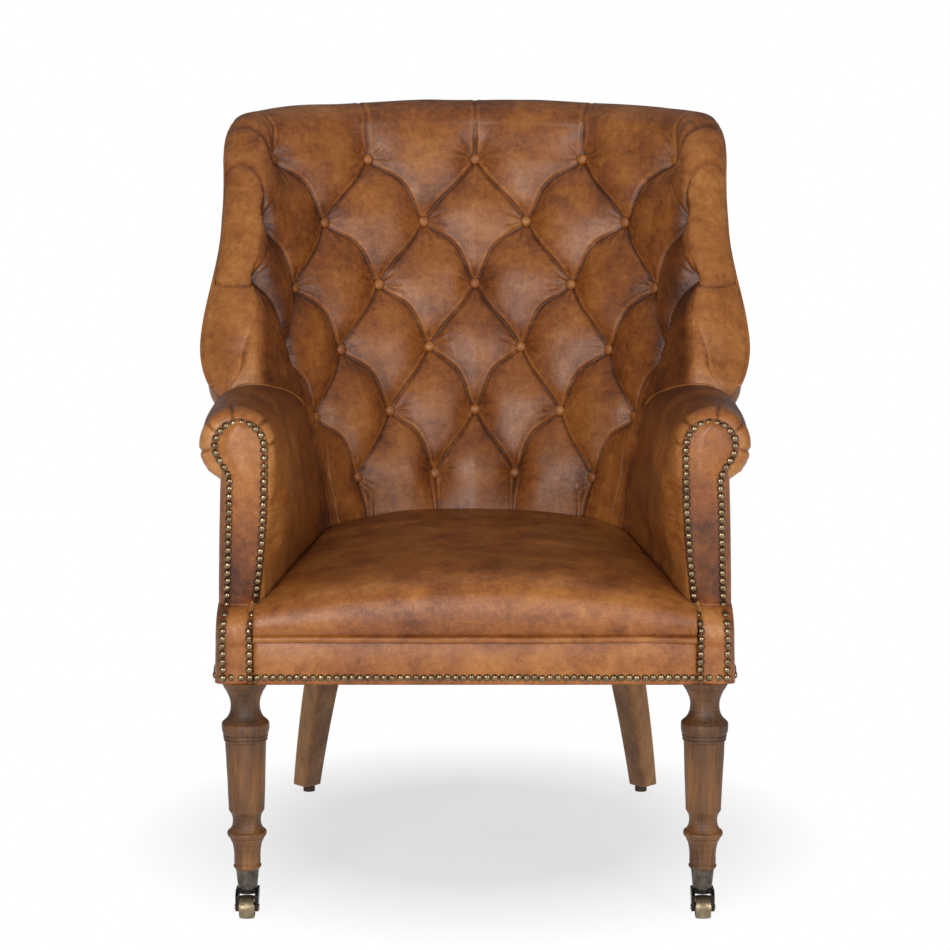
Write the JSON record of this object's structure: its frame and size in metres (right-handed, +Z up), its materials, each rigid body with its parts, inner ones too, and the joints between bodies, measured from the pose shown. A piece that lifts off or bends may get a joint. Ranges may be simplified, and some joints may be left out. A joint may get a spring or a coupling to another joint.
{
  "type": "tufted wingback armchair",
  "caption": "Barrel wing chair with a deep-buttoned leather back, scroll arms with nail trim, a crowned tight seat, turned front legs on brass cup casters and sabre rear legs.",
  "frame": {"origin": "on the floor under the middle of the chair's box", "axes": "+Z up, the sitter looks along -Y, +X is on the right as seen from the front"},
  "size_m": [0.7612, 0.7477, 1.0619],
  "materials": {
    "leather": "waxed tan hide with darker patina in the folds",
    "nail_brass": "antiqued",
    "leg_wood": "weathered, matt",
    "frame_wood": "planed hardwood",
    "foam": "open cell",
    "webbing": "woven jute",
    "dust_cloth": "black cambric",
    "glide_plastic": "matt",
    "caster_brass": "dull, aged",
    "caster_iron": "dark, oiled"
  },
  "bodies": {
    "chair": {"inside_back": "leather", "inside_wing_left": "leather", "inside_wing_right": "leather", "outside_back": "leather", "outside_wing_left": "leather", "outside_wing_right": "leather", "outside_arm_left": "leather", "outside_arm_right": "leather", "arm_pad_left": "leather", "arm_pad_right": "leather", "arm_facing_left": "leather", "arm_facing_right": "leather", "seat_cover": "leather", "front_border": "leather", "seat_piping": "leather", "back_buttons": "leather", "arm_nails_left": "nail_brass", "arm_nails_right": "nail_brass", "rail_nails": "nail_brass", "front_leg_left": "leg_wood", "front_leg_right": "leg_wood", "rear_leg_left": "leg_wood", "rear_leg_right": "leg_wood", "front_rail": "frame_wood", "back_rail": "frame_wood", "side_rail_left": "frame_wood", "side_rail_right": "frame_wood", "corner_blocks": "frame_wood", "arm_post_left": "frame_wood", "arm_post_right": "frame_wood", "arm_rail_left": "frame_wood", "arm_rail_right": "frame_wood", "back_post_left": "frame_wood", "back_post_right": "frame_wood", "top_rail": "frame_wood", "wing_frame_left": "frame_wood", "wing_frame_right": "frame_wood", "seat_foam": "foam", "back_foam": "foam", "seat_webbing": "webbing", "back_webbing": "webbing", "dust_cover": "dust_cloth", "rear_glides": "glide_plastic", "caster_cup_left": "caster_brass", "caster_cup_right": "caster_brass"},
    "caster_left": {"caster_fork_left": "caster_iron", "caster_axle_left": "caster_brass"},
    "wheel_left": {"caster_wheel_left": "caster_brass"},
    "caster_right": {"caster_fork_right": "caster_iron", "caster_axle_right": "caster_brass"},
    "wheel_right": {"caster_wheel_right": "caster_brass"}
  },
  "joints": [
    {"name": "caster_swivel_left", "type": "hinge", "parent": "chair", "child": "caster_left", "pos_m": [-0.295, -0.33685, 0.035], "axis": [0, 0, 1], "continuous": true},
    {"name": "wheel_spin_left", "type": "hinge", "parent": "caster_left", "child": "wheel_left", "pos_m": [-0.295, -0.34885, 0.0155], "axis": [1, 0, 0], "continuous": true},
    {"name": "caster_swivel_right", "type": "hinge", "parent": "chair", "child": "caster_right", "pos_m": [0.295, -0.33685, 0.035], "axis": [0, 0, 1], "continuous": true},
    {"name": "wheel_spin_right", "type": "hinge", "parent": "caster_right", "child": "wheel_right", "pos_m": [0.295, -0.34885, 0.0155], "axis": [1, 0, 0], "continuous": true}
  ]
}
